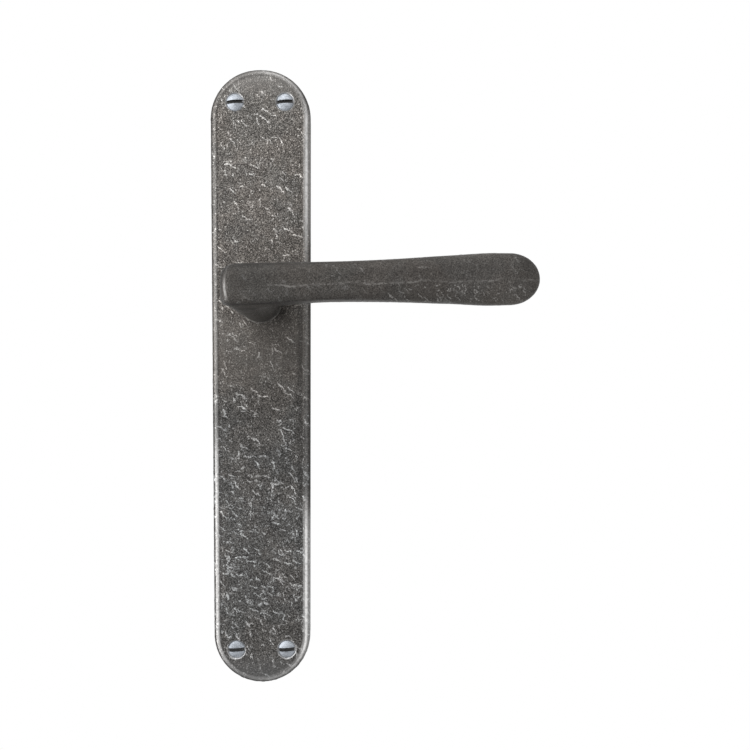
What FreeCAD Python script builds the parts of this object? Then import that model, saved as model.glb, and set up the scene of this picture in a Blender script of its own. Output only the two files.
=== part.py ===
import FreeCAD, Part

import math
import os

# A sprung door lever handle on a long blind backplate, in millimetres.
# Origin: where the spindle's axis crosses the door's face. +X is the way the lever points,
# +Z is up, and the backplate's front looks along -Y, away from the door.
# "Depth" below is the distance behind the backplate's front face, towards the door.

# Backplate: a hollow-backed casting with an arched top and a half-round bottom
PLATE_LENGTH = 245.0
PLATE_WIDTH = 40.2        # across the shoulders, where it is widest
FOOT_WIDTH = 38.5         # across the bottom arc: the sides draw in towards it
PLATE_DEPTH = 10.0
SPINDLE_BELOW_TOP = 93.0
CROWN_SHARE = 1.16        # radius of the top's middle arc, in half widths
SHOULDER_SHARE = 0.97     # radius of the top's two outer arcs, in half widths
RIM_ROUND = 2.5
STRAIGHT_SIDE = 3.0        # depth of the sides before they draw in
SIDE_DRAFT = 6.0           # degrees: the mould parts behind the rim
FACE_WALL = 3.0
SIDE_WALL = 3.75
POCKET_GAP = 1.0          # round the drive plate

# Wood screws that hold the backplate to the door
SCREW_SPACING_X = 20.0
SCREW_SPACING_Z = 218.0
SCREW_FROM_TOP = 13.5
SCREW_HEAD_RADIUS = 3.4
SCREW_DOME = 0.9
SCREW_SHANK_RADIUS = 2.05
SCREW_THREAD_RADIUS = 1.75
SCREW_PAST_DOOR_FACE = 20.0
SCREW_POINT = 3.5
SCREW_HOLE_GAP = 0.25
SCREW_SINK = 0.5          # how far the head's edge lies under the face
SLOT_WIDTH = 1.0
SLOT_DEPTH = 1.3
SLOT_TURN = 3.0           # degrees off level
SCREW_BOSS_WALL = 3.2

# Lever: neck, elbow and grip in one casting
NECK_RADIUS = 8.3
ELBOW_HALF_WIDTH = 6.9     # of the neck where it meets the elbow
ELBOW_HALF_HEIGHT = 7.55
ELBOW_OUTER_ROUND = 4.5
ELBOW_INNER_ROUND = 5.0
LEVER_REACH = 103.3       # spindle axis to tip
LEVER_PROJECTION = 48.0   # backplate's front face to the grip's front
TIP_ROUND = 10.5
NECK_SECTION_POWER = 2.0
ELBOW_SECTION_POWER = 3.2
GRIP_SECTION_POWER = 2.5
CHIN_POWER = 5.0           # the lower front edge is crisp at the elbow

# Spindle and the journal that carries it
SPINDLE_SIDE = 8.0
SPINDLE_PAST_DOOR_FACE = 70.0
SPINDLE_CHAMFER = 0.8
SOCKET_GAP = 0.05
SOCKET_DEPTH = 30.0
SOCKET_FLOOR_GAP = 0.5
JOURNAL_WALL = 1.25
CROSS_PIN_RADIUS = 1.5
CROSS_PIN_DEPTH = 2.2
CROSS_PIN_END_GAP = 0.2

# Bush, washers, drive plate and retaining ring
RUNNING_GAP = 0.05
BUSH_WALL = 1.3
FLANGE_LIP = 0.4
FLANGE_THICKNESS = 0.6
BUSH_BOSS_WALL = 2.7
BUSH_BOSS_HEIGHT = 1.4
THRUST_WASHER_WALL = 3.2
WASHER_GAP = 0.1
DRIVE_PLATE_THICKNESS = 1.6
DRIVE_PLATE_EDGE = 1.6    # metal outside the spring leg's hole
FLAT_WALL = 1.75
CUP_WASHER_WALL = 3.0
CUP_WASHER_THICKNESS = 0.4
CUP_WASHER_RISE = 0.4
PLAIN_WASHER_THICKNESS = 0.5
RING_THICKNESS = 1.0
RING_WIDTH = 1.9
RING_GROOVE = 0.3
RING_GAP_ANGLE = 50.0
RING_EAR_RADIUS = 1.7
RING_EAR_HOLE_RADIUS = 0.75
JOURNAL_END = 1.6

# Return spring and the pins in the backplate
WIRE_RADIUS = 0.7
SPRING_TURNS = 1.75
COIL_GAP = 0.1
SPRING_GAP = 0.6          # coil to boss
LEG_GAP = 0.2
LEG_PAST_PIN = 2.0
BEND_INSIDE = 0.4         # radius inside the bend at each leg
PIN_RADIUS = 1.5
PIN_SEAT_DEPTH = 1.5
PIN_GAP = 0.1
PIN_RING_GAP = 0.8        # drive plate's rim to the stop pins
LEVER_TRAVEL = 45.0
STOP_ARM_WIDTH = 6.0
FIXED_LEG_ANGLE = 180.0   # angles here run from +Z towards +X

X = FreeCAD.Vector(1, 0, 0)
Y = FreeCAD.Vector(0, 1, 0)
Z = FreeCAD.Vector(0, 0, 1)

# Worked out from the dimensions above
half_width = PLATE_WIDTH / 2
plate_top = SPINDLE_BELOW_TOP
plate_bottom = plate_top - PLATE_LENGTH
screw_rows = (plate_top - SCREW_FROM_TOP, plate_top - SCREW_FROM_TOP - SCREW_SPACING_Z)
screw_hole_radius = SCREW_SHANK_RADIUS + SCREW_HOLE_GAP
socket_side = SPINDLE_SIDE + 2 * SOCKET_GAP
journal_radius = socket_side / math.sqrt(2) + JOURNAL_WALL
flat_distance = socket_side / 2 + FLAT_WALL
bore_radius = journal_radius + RUNNING_GAP
bush_radius = bore_radius + BUSH_WALL
bush_boss_radius = bush_radius + BUSH_BOSS_WALL
bush_end = FACE_WALL + BUSH_BOSS_HEIGHT
coil_radius = bush_boss_radius + SPRING_GAP + WIRE_RADIUS
coil_pitch = 2 * WIRE_RADIUS + COIL_GAP
coil_start = FACE_WALL + COIL_GAP + WIRE_RADIUS
coil_end = coil_start + SPRING_TURNS * coil_pitch
drive_plate_front = coil_end + WIRE_RADIUS + LEG_GAP
drive_plate_back = drive_plate_front + DRIVE_PLATE_THICKNESS
drive_plate_radius = coil_radius + WIRE_RADIUS + LEG_GAP + DRIVE_PLATE_EDGE
cup_washer_back = drive_plate_back + CUP_WASHER_THICKNESS + CUP_WASHER_RISE
plain_washer_back = cup_washer_back + PLAIN_WASHER_THICKNESS
ring_front = plain_washer_back + RUNNING_GAP
ring_back = ring_front + RING_THICKNESS
groove_radius = journal_radius - RING_GROOVE
journal_end = ring_back + RUNNING_GAP + JOURNAL_END
shoulder = -FLANGE_THICKNESS - RUNNING_GAP
bend_radius = BEND_INSIDE + WIRE_RADIUS
moving_leg_angle = (FIXED_LEG_ANGLE + 360 * SPRING_TURNS
                    + math.degrees(math.atan(bend_radius / coil_radius)))
moving_leg_circle = math.hypot(coil_radius, bend_radius)
pin_circle = drive_plate_radius + PIN_RADIUS + PIN_RING_GAP
stop_arm_reach = pin_circle + PIN_RADIUS + PIN_GAP
stop_arm_angle = -LEVER_TRAVEL / 2
stop_offset_angle = math.degrees(
    math.asin((STOP_ARM_WIDTH / 2 + PIN_RADIUS + PIN_GAP) / pin_circle))


def at(x, depth, z):
    """A point at a depth behind the backplate's front face."""
    return FreeCAD.Vector(x, depth - PLATE_DEPTH, z)


def round_bar(radius, depth_from, depth_to, x=0.0, z=0.0):
    return Part.makeCylinder(radius, depth_to - depth_from, at(x, depth_from, z), Y)


def polar(radius, angle):
    """x and z on a circle about the spindle's axis, the angle from +Z towards +X."""
    return radius * math.sin(math.radians(angle)), radius * math.cos(math.radians(angle))


def tube(outer, inner, depth_from, depth_to):
    return round_bar(outer, depth_from, depth_to).cut(round_bar(inner, depth_from, depth_to))


def extruded(wire, length):
    return Part.Face(wire).extrude(Y * length)


# Backplate

def plate_outline(inset, depth):
    """The plate's outline drawn in by a distance: two sides, a bottom arc and three top arcs."""
    crown = CROWN_SHARE * half_width
    shoulder_r = SHOULDER_SHARE * half_width
    foot_r = FOOT_WIDTH / 2
    over = half_width - shoulder_r
    drop = math.sqrt((crown - shoulder_r) ** 2 - over ** 2)
    spring_line = plate_top - crown + drop
    crown_centre = spring_line - drop
    foot = plate_bottom + foot_r
    lean = math.atan2(over, drop)
    # The slant of a side that is tangent to its shoulder arc and to the bottom arc
    rise = spring_line - foot
    slant = math.asin((shoulder_r - foot_r) / math.hypot(rise, over)) + math.atan2(over, rise)

    def shoulder_point(angle, side):
        return at(side * (over + (shoulder_r - inset) * math.sin(angle)), depth,
                  spring_line + (shoulder_r - inset) * math.cos(angle))

    def foot_point(angle, side):
        return at(side * (foot_r - inset) * math.sin(angle), depth,
                  foot + (foot_r - inset) * math.cos(angle))

    square_off = math.pi / 2 + slant
    right_top, left_top = shoulder_point(square_off, 1), shoulder_point(square_off, -1)
    right_foot, left_foot = foot_point(square_off, 1), foot_point(square_off, -1)
    middle = (lean + square_off) / 2
    edges = [
        Part.LineSegment(right_foot, right_top).toShape(),
        Part.Arc(right_top, shoulder_point(middle, 1), shoulder_point(lean, 1)).toShape(),
        Part.Arc(shoulder_point(lean, 1), at(0, depth, crown_centre + crown - inset),
                 shoulder_point(lean, -1)).toShape(),
        Part.Arc(shoulder_point(lean, -1), shoulder_point(middle, -1), left_top).toShape(),
        Part.LineSegment(left_top, left_foot).toShape(),
        Part.Arc(left_foot, at(0, depth, plate_bottom + inset), right_foot).toShape(),
    ]
    return Part.Wire(edges)


def screw_places():
    return [(side * SCREW_SPACING_X / 2, row) for row in screw_rows for side in (-1, 1)]


def countersink(radius, x, z):
    """A 90 degree cone that opens at the face."""
    return Part.makeCone(radius + SCREW_SINK, 0, radius + SCREW_SINK, at(x, 0, z), Y)


def stop_pin_places():
    angles = (stop_arm_angle - stop_offset_angle,
              stop_arm_angle + LEVER_TRAVEL + stop_offset_angle)
    return [polar(pin_circle, angle) for angle in angles]


def anchor_pin_place():
    """Beside the fixed leg, on the side that the wound spring pushes it to."""
    aside = WIRE_RADIUS + PIN_RADIUS + RUNNING_GAP - bend_radius
    lean = math.degrees(math.asin(aside / pin_circle))
    return polar(pin_circle, FIXED_LEG_ANGLE + lean)


def make_backplate():
    body = extruded(plate_outline(0, 0), STRAIGHT_SIDE)
    front = [e for e in body.Edges if abs(e.BoundBox.YMax + PLATE_DEPTH) < 1e-6]
    body = body.makeFillet(RIM_ROUND, front)
    drawn_in = (PLATE_DEPTH - STRAIGHT_SIDE) * math.tan(math.radians(SIDE_DRAFT))
    body = body.fuse(Part.makeLoft([plate_outline(0, STRAIGHT_SIDE),
                                    plate_outline(drawn_in, PLATE_DEPTH)], True, True))
    hollow_depth = PLATE_DEPTH - FACE_WALL
    hollow = extruded(plate_outline(SIDE_WALL, FACE_WALL), hollow_depth)
    hollow = hollow.fuse(round_bar(drive_plate_radius + POCKET_GAP, FACE_WALL, PLATE_DEPTH))
    body = body.cut(hollow)
    for x, z in screw_places():
        body = body.fuse(round_bar(screw_hole_radius + SCREW_BOSS_WALL, FACE_WALL,
                                   PLATE_DEPTH, x, z))
    body = body.fuse(round_bar(bush_boss_radius, FACE_WALL, bush_end))
    body = body.cut(round_bar(bush_radius, 0, bush_end))
    for x, z in screw_places():
        body = body.cut(round_bar(screw_hole_radius, 0, PLATE_DEPTH, x, z))
        body = body.cut(countersink(SCREW_HEAD_RADIUS, x, z))
    for x, z in stop_pin_places() + [anchor_pin_place()]:
        body = body.cut(round_bar(PIN_RADIUS, FACE_WALL - PIN_SEAT_DEPTH, FACE_WALL, x, z))
    return body.removeSplitter()


def make_screw(x, z):
    """A slotted raised countersunk wood screw, its thread drawn as a plain bar."""
    head_height = SCREW_HEAD_RADIUS - SCREW_SHANK_RADIUS
    seat = SCREW_SINK
    head = Part.makeCone(SCREW_HEAD_RADIUS, SCREW_SHANK_RADIUS, head_height, at(x, seat, z), Y)
    dome_radius = (SCREW_HEAD_RADIUS ** 2 + SCREW_DOME ** 2) / (2 * SCREW_DOME)
    ball = Part.makeSphere(dome_radius, at(x, seat - SCREW_DOME + dome_radius, z))
    dome = ball.common(round_bar(SCREW_HEAD_RADIUS, seat - SCREW_DOME, seat, x, z))
    shank = round_bar(SCREW_SHANK_RADIUS, seat + head_height, PLATE_DEPTH, x, z)
    thread_end = PLATE_DEPTH + SCREW_PAST_DOOR_FACE - SCREW_POINT
    thread = round_bar(SCREW_THREAD_RADIUS, PLATE_DEPTH, thread_end, x, z)
    point = Part.makeCone(SCREW_THREAD_RADIUS, 0, SCREW_POINT, at(x, thread_end, z), Y)
    screw = dome.fuse([head, shank, thread, point])
    slot_length = 3 * SCREW_HEAD_RADIUS
    slot = Part.makeBox(slot_length, SLOT_DEPTH, SLOT_WIDTH,
                        at(x - slot_length / 2, seat - SCREW_DOME, z - SLOT_WIDTH / 2))
    slot.rotate(at(x, 0, z), Y, -SLOT_TURN)
    return screw.cut(slot)


# Lever

def section(centre, across, half_across, half_up, power, chin=0.0):
    """A closed smooth outline, round at power 2 and squarer above it, upright along Z.
    The chin is the power of its lower front quarter."""
    points = []
    count = 32
    for i in range(count):
        turn = 2 * math.pi * i / count
        c, s = math.cos(turn), math.sin(turn)
        squareness = max(chin, power) if c > 0 > s else power
        a = half_across * math.copysign(abs(c) ** (2 / squareness), c)
        b = half_up * math.copysign(abs(s) ** (2 / squareness), s)
        points.append(centre + across * a + Z * b)
    curve = Part.BSplineCurve()
    curve.interpolate(points, PeriodicFlag=True)
    return Part.Wire(curve.toShape())


def mix(a, b, share):
    return a + (b - a) * share


# Along the straight of the grip: share of its length, top z, bottom z, thickness
GRIP_STATIONS = [
    (0.00, 7.80, -6.85, 14.0),
    (0.12, 7.85, -6.15, 12.4),
    (0.44, 8.50, -5.85, 11.4),
    (0.72, 9.85, -6.60, 11.0),
    (0.93, 10.70, -7.40, 10.0),
    (1.00, 10.65, -7.30, 9.8),
]


def elbow_reach(angle, pivot_x, pivot_depth):
    """From the elbow's inner pivot to its outer skin, at an angle from the neck's plane."""
    dx, dy = -math.cos(angle), -math.sin(angle)
    to_side = (pivot_x + ELBOW_HALF_WIDTH) / -dx if dx < -1e-9 else math.inf
    to_front = (pivot_depth + LEVER_PROJECTION) / -dy if dy < -1e-9 else math.inf
    centre_x = -ELBOW_HALF_WIDTH + ELBOW_OUTER_ROUND
    centre_depth = -LEVER_PROJECTION + ELBOW_OUTER_ROUND
    if pivot_depth + dy * to_side > centre_depth:
        return to_side
    if pivot_x + dx * to_front > centre_x:
        return to_front
    wx, wy = centre_x - pivot_x, centre_depth - pivot_depth
    along = dx * wx + dy * wy
    return along + math.sqrt(along ** 2 - (wx ** 2 + wy ** 2 - ELBOW_OUTER_ROUND ** 2))


def elbow_sections():
    """Sections that fan round the inside of the elbow, from the neck to the grip."""
    first = GRIP_STATIONS[0]
    pivot_x = ELBOW_HALF_WIDTH + ELBOW_INNER_ROUND
    pivot_depth = -LEVER_PROJECTION + first[3] + ELBOW_INNER_ROUND
    grip_half, grip_middle = (first[1] - first[2]) / 2, (first[1] + first[2]) / 2
    wires = []
    steps = 14
    for i in range(steps):
        share = i / steps
        angle = share * math.pi / 2
        outer = elbow_reach(angle, pivot_x, pivot_depth)
        reach = (outer + ELBOW_INNER_ROUND) / 2
        out = FreeCAD.Vector(-math.cos(angle), -math.sin(angle), 0)
        centre = at(pivot_x, pivot_depth, grip_middle * share ** 2) + out * reach
        power = mix(NECK_SECTION_POWER, ELBOW_SECTION_POWER, min(1, 2 * share))
        chin = mix(NECK_SECTION_POWER, CHIN_POWER, min(1, 2 * share))
        wires.append(section(centre, out, (outer - ELBOW_INNER_ROUND) / 2,
                             mix(ELBOW_HALF_HEIGHT, grip_half, share ** 2), power, chin))
    return wires


def grip_sections():
    start = ELBOW_HALF_WIDTH + ELBOW_INNER_ROUND
    length = LEVER_REACH - TIP_ROUND - start
    out = -Y
    wires = []
    for share, top, bottom, thickness in GRIP_STATIONS:
        centre = at(start + share * length, -LEVER_PROJECTION + thickness / 2,
                    (top + bottom) / 2)
        power = mix(ELBOW_SECTION_POWER, GRIP_SECTION_POWER, share)
        chin = mix(CHIN_POWER, GRIP_SECTION_POWER, min(1, 1.4 * share))
        wires.append(section(centre, out, thickness / 2, (top - bottom) / 2, power, chin))
    share, top, bottom, thickness = GRIP_STATIONS[-1]
    for angle in (22.0, 42.0, 58.0, 71.0, 81.0, 87.5):
        turn = math.radians(angle)
        shrink = math.cos(turn)
        centre = at(LEVER_REACH - TIP_ROUND + TIP_ROUND * math.sin(turn),
                    -LEVER_PROJECTION + thickness / 2, (top + bottom) / 2)
        wires.append(section(centre, out, thickness / 2 * shrink, (top - bottom) / 2 * shrink,
                             GRIP_SECTION_POWER))
    return wires


def make_lever():
    along_grip = grip_sections()
    neck_foot = section(at(0, shoulder, 0), -X, NECK_RADIUS, NECK_RADIUS, NECK_SECTION_POWER)
    bend = [neck_foot] + elbow_sections() + along_grip[:1]
    wedges = [Part.makeLoft(list(pair), True, True) for pair in zip(bend, bend[1:])]
    grip = Part.makeLoft(along_grip, True, False)
    journal = round_bar(journal_radius, shoulder, journal_end)
    flats_length = journal_end - drive_plate_front
    for side in (-1, 1):
        flat = Part.makeBox(4 * journal_radius, flats_length, journal_radius,
                            at(-2 * journal_radius, drive_plate_front, -journal_radius / 2))
        flat.translate(Z * side * (flat_distance + journal_radius / 2))
        journal = journal.cut(flat)
    journal = journal.cut(tube(2 * journal_radius, groove_radius, ring_front - RUNNING_GAP,
                               ring_back + RUNNING_GAP))
    lever = grip.fuse(wedges + [journal])
    socket = Part.makeBox(socket_side, SOCKET_DEPTH, socket_side,
                          at(-socket_side / 2, journal_end - SOCKET_DEPTH, -socket_side / 2))
    return lever.cut(socket).cut(cross_pin(journal_radius)).removeSplitter()


def cross_pin(half_length):
    """The upright pin that holds the spindle in the journal, hidden inside the bush."""
    return Part.makeCylinder(CROSS_PIN_RADIUS, 2 * half_length,
                             at(0, CROSS_PIN_DEPTH, -half_length), Z)


def make_spindle():
    first = journal_end - SOCKET_DEPTH + SOCKET_FLOOR_GAP
    last = PLATE_DEPTH + SPINDLE_PAST_DOOR_FACE
    half = SPINDLE_SIDE / 2
    bar = Part.makeBox(SPINDLE_SIDE, last - first, SPINDLE_SIDE, at(-half, first, -half))
    ends = [e for e in bar.Edges
            if abs(e.BoundBox.YMax - e.BoundBox.YMin) < 1e-6]
    return bar.makeChamfer(SPINDLE_CHAMFER, ends).cut(cross_pin(journal_radius))


def make_bush():
    flange = round_bar(bush_radius + FLANGE_LIP, -FLANGE_THICKNESS, 0)
    body = round_bar(bush_radius, 0, bush_end)
    return flange.fuse(body).cut(round_bar(bore_radius, -FLANGE_THICKNESS, bush_end))


def make_thrust_washer():
    inner = journal_radius + WASHER_GAP
    return tube(inner + THRUST_WASHER_WALL, inner, bush_end, drive_plate_front - RUNNING_GAP)


def make_drive_plate():
    """A disc keyed on the journal's flats, with a stop arm and a hole for the spring's leg."""
    disc = round_bar(drive_plate_radius, drive_plate_front, drive_plate_back)
    arm = Part.makeBox(STOP_ARM_WIDTH, DRIVE_PLATE_THICKNESS, stop_arm_reach,
                       at(-STOP_ARM_WIDTH / 2, drive_plate_front, 0))
    arm.rotate(at(0, 0, 0), Y, stop_arm_angle)
    keyed = round_bar(journal_radius + RUNNING_GAP, drive_plate_front, drive_plate_back)
    height = 2 * (flat_distance + RUNNING_GAP)
    band = Part.makeBox(4 * journal_radius, DRIVE_PLATE_THICKNESS, height,
                        at(-2 * journal_radius, drive_plate_front, -height / 2))
    leg_x, leg_z = polar(moving_leg_circle, moving_leg_angle)
    leg_hole = round_bar(WIRE_RADIUS + LEG_GAP, drive_plate_front, drive_plate_back,
                         leg_x, leg_z)
    return disc.fuse(arm).cut(keyed.common(band)).cut(leg_hole).removeSplitter()


def make_cup_washer():
    """A slightly coned spring washer that takes up the end play."""
    inner = journal_radius + WASHER_GAP
    outer = inner + CUP_WASHER_WALL
    corners = [at(outer, drive_plate_back, 0),
               at(outer, drive_plate_back + CUP_WASHER_THICKNESS, 0),
               at(inner, cup_washer_back, 0),
               at(inner, cup_washer_back - CUP_WASHER_THICKNESS, 0)]
    profile = Part.Face(Part.makePolygon(corners + corners[:1]))
    return profile.revolve(at(0, 0, 0), Y, 360)


def make_plain_washer():
    inner = journal_radius + WASHER_GAP
    return tube(inner + CUP_WASHER_WALL, inner, cup_washer_back, plain_washer_back)


def make_retaining_ring():
    """An open steel ring with two drilled ears, its gap at the bottom."""
    inner = groove_radius + RUNNING_GAP / 2
    outer = inner + RING_WIDTH
    ring = tube(outer, inner, ring_front, ring_back)
    half_gap = math.radians(RING_GAP_ANGLE / 2)
    far = 2 * outer
    corners = [at(0, ring_front, 0), at(far * math.sin(half_gap), ring_front,
                                        -far * math.cos(half_gap)),
               at(-far * math.sin(half_gap), ring_front, -far * math.cos(half_gap))]
    wedge = extruded(Part.makePolygon(corners + corners[:1]), RING_THICKNESS)
    ring = ring.cut(wedge)
    ear_circle = (inner + outer) / 2 + RING_EAR_HOLE_RADIUS
    ear_turn = RING_GAP_ANGLE / 2 + math.degrees(math.asin(RING_EAR_RADIUS / ear_circle))
    for side in (-1, 1):
        x, z = polar(ear_circle, 180 + side * ear_turn)
        ear = round_bar(RING_EAR_RADIUS, ring_front, ring_back, x, z)
        ear = ear.cut(round_bar(inner, ring_front, ring_back))
        ring = ring.fuse(ear).cut(
            round_bar(RING_EAR_HOLE_RADIUS, ring_front, ring_back, x, z))
    return ring.removeSplitter()


# Return spring and pins

def coil_point(turn):
    """Where the coil's centre line is after so many degrees, which way it heads, and outwards."""
    x, z = polar(1, FIXED_LEG_ANGLE + turn)
    outwards = FreeCAD.Vector(x, 0, z)
    heading = Y.cross(outwards) * coil_radius + Y * (coil_pitch / (2 * math.pi))
    place = at(0, coil_start + coil_pitch * turn / 360, 0) + outwards * coil_radius
    return place, heading.normalize(), outwards


def wire_bend(start, heading, aim):
    """A bend of the wire from one heading to another, and the point where it ends."""
    side = (aim - heading * aim.dot(heading)).normalize()
    turn = math.acos(aim.dot(heading))
    disc = Part.Face(Part.Wire(Part.Circle(start, heading, WIRE_RADIUS).toShape()))
    bend = disc.revolve(start + side * bend_radius, heading.cross(side), math.degrees(turn))
    end = (start + heading * (bend_radius * math.sin(turn))
           + side * (bend_radius * (1 - math.cos(turn))))
    return bend, end


def make_return_spring():
    """A torsion coil: one leg lies against a pin in the plate, the other turns the drive plate."""
    helix = Part.makeHelix(coil_pitch, SPRING_TURNS * coil_pitch, coil_radius)
    heading = FreeCAD.Vector(0, coil_radius, coil_pitch / (2 * math.pi))
    ring = Part.Circle(X * coil_radius, heading, WIRE_RADIUS).toShape()
    coil = Part.Wire(helix.Edges).makePipeShell([Part.Wire(ring)], True, True)
    # The helix rises along Z from +X, turning towards +Y: laid down, it goes along Y from +Z
    coil.rotate(FreeCAD.Vector(), FreeCAD.Vector(1, 1, 1), 240)
    coil.rotate(FreeCAD.Vector(), Y, FIXED_LEG_ANGLE)
    coil.translate(at(0, coil_start, 0))
    start, heading, outwards = coil_point(0)
    fixed_bend, foot = wire_bend(start, heading * -1, outwards)
    fixed_length = pin_circle + LEG_PAST_PIN - coil_radius - bend_radius
    fixed_leg = Part.makeCylinder(WIRE_RADIUS, fixed_length, foot, outwards)
    end, heading, outwards = coil_point(360 * SPRING_TURNS)
    moving_bend, foot = wire_bend(end, heading, Y)
    moving_length = drive_plate_back - PLATE_DEPTH - foot.y
    moving_leg = Part.makeCylinder(WIRE_RADIUS, moving_length, foot, Y)
    return coil.fuse([fixed_bend, fixed_leg, moving_bend, moving_leg])


def make_pin(place, depth_to):
    return round_bar(PIN_RADIUS, FACE_WALL - PIN_SEAT_DEPTH, depth_to, *place)


def main():
    os.makedirs("parts", exist_ok=True)
    rest_place, travel_place = stop_pin_places()
    parts = {
        "backplate": make_backplate(),
        "plate_screws": Part.makeCompound([make_screw(x, z) for x, z in screw_places()]),
        "lever_handle": make_lever(),
        "spindle": make_spindle(),
        "spindle_cross_pin": cross_pin(journal_radius - CROSS_PIN_END_GAP),
        "neck_bush": make_bush(),
        "thrust_washer": make_thrust_washer(),
        "drive_plate": make_drive_plate(),
        "cup_washer": make_cup_washer(),
        "plain_washer": make_plain_washer(),
        "retaining_ring": make_retaining_ring(),
        "return_spring": make_return_spring(),
        "spring_anchor_pin": make_pin(anchor_pin_place(), coil_start + 2 * WIRE_RADIUS),
        "rest_stop_pin": make_pin(rest_place, drive_plate_back),
        "travel_stop_pin": make_pin(travel_place, drive_plate_back),
    }
    for name, shape in parts.items():
        solids = len(shape.Solids)
        print(f"{name:18} solids {solids} volume {shape.Volume:10.1f} valid {shape.isValid()}")
        shape.exportStep(f"parts/{name}.step")


main()
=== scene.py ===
import math

import bmesh
import bpy
import numpy as np
from mathutils import Matrix, Vector
from mathutils.geometry import delaunay_2d_cdt


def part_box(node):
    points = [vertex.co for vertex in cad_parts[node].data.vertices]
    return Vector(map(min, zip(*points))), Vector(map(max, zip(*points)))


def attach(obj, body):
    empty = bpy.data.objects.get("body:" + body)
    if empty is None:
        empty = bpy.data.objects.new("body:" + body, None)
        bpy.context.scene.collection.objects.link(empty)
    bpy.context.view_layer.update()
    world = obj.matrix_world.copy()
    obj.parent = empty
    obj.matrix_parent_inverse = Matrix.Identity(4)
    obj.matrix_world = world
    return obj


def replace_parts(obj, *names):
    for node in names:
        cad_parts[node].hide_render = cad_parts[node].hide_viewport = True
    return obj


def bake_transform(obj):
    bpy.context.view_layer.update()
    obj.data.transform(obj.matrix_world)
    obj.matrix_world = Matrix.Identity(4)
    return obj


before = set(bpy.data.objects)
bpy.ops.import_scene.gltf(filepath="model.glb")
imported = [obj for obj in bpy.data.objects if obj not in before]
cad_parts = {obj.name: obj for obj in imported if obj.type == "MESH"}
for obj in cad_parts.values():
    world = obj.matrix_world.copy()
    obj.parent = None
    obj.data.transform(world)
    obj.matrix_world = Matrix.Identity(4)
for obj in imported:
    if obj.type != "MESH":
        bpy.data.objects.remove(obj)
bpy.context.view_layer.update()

# A sprung door lever on a long backplate, piece by piece as it is put together.
# +X is the way the lever points, +Z is up, and the plate's front looks along -Y.

# --------------------
# Backplate: one grey iron casting with a hollow back, tumbled and blackened, so that its
# rim and high spots are polished bright and its hollows stay dark; the rim also carries a
# painted highlight, and the face painted shade and shadow. After casting, its face is
# bored for the neck's bush and countersunk for four screws.

plate_low, plate_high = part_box("backplate")
half_width = plate_high.x
plate_top, plate_bottom = plate_high.z, plate_low.z
face = plate_low.y
crown_radius = 1.16 * half_width
shoulder_radius = 0.97 * half_width
foot_radius = 0.01925
shoulder_over = half_width - shoulder_radius
shoulder_drop = math.sqrt((crown_radius - shoulder_radius) ** 2 - shoulder_over ** 2)
crown_centre = plate_top - crown_radius
shoulder_centre = crown_centre + shoulder_drop
foot_centre = plate_bottom + foot_radius
crown_lean = math.atan2(shoulder_over, shoulder_drop)
side_run = shoulder_centre - foot_centre
slant = (math.asin((shoulder_radius - foot_radius) / math.hypot(side_run, shoulder_over))
         + math.atan2(shoulder_over, side_run))
rim_round = 0.0025
straight_side = 0.003
side_draft = math.tan(math.radians(6))
face_wall = 0.003
side_wall = 0.00375
skin_step = 0.00042

MM = 1000.0             # millimetres in a metre: patterns are drawn in millimetres
LAP = 0.001             # how far a cutting tool runs past the skin that it cuts


def between(first, last, share):
    """A value some share of the way from the first to the last."""
    return first + (last - first) * share


def eased(share):
    """A share from 0 to 1 that starts and ends gently."""
    share = np.clip(share, 0, 1)
    return share ** 2 * (3 - 2 * share)


def plate_ring(inset, y, step=skin_step):
    """Points round the plate's outline, drawn in by a distance, from its right foot upwards."""
    def arc(centre_x, centre_z, radius, first, last):
        count = max(2, round(abs(last - first) * radius / step))
        turn = np.linspace(first, last, count, endpoint=False)
        return np.column_stack([centre_x + (radius - inset) * np.sin(turn), np.full(count, y),
                                centre_z + (radius - inset) * np.cos(turn)])

    def side(first, last):
        count = round(side_run / step)
        return between(first, last, np.linspace(0, 1, count, endpoint=False)[:, None])

    square_off = math.pi / 2 + slant
    crown = arc(0, crown_centre, crown_radius, crown_lean, -crown_lean)
    right = arc(shoulder_over, shoulder_centre, shoulder_radius, square_off, crown_lean)
    left = arc(-shoulder_over, shoulder_centre, shoulder_radius, -crown_lean, -square_off)
    foot = arc(0, foot_centre, foot_radius, -square_off, square_off - 2 * math.pi)
    mirror = np.array([-1, 1, 1])
    return np.concatenate([side(foot[0] * mirror, right[0]), right, crown, left,
                           side(right[0] * mirror, foot[0]), foot])


def from_edge(x, z):
    """How far points of the face lie inside the plate's outline."""
    x = np.abs(x)
    down_shoulder = -(x - shoulder_over) * math.sin(slant) - (z - shoulder_centre) * math.cos(slant)
    down_foot = -x * math.sin(slant) - (z - foot_centre) * math.cos(slant)
    side = foot_radius - x * math.cos(slant) + (z - foot_centre) * math.sin(slant)
    shoulder = shoulder_radius - np.hypot(x - shoulder_over, z - shoulder_centre)
    crown = crown_radius - np.hypot(x, z - crown_centre)
    in_crown = x < (z - crown_centre) * math.tan(crown_lean)
    deep = (x < shoulder_over) & ~in_crown
    inside = np.where(down_shoulder < 0, np.where(in_crown, crown, shoulder), side)
    inside = np.where((down_shoulder < 0) & deep, np.minimum(crown, side), inside)
    return np.where(down_foot > 0, foot_radius - np.hypot(x, z - foot_centre), inside)


def placed(name, data):
    """A new object in the scene, at the origin."""
    made = bpy.data.objects.new(name, data)
    bpy.context.scene.collection.objects.link(made)
    return made


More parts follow.
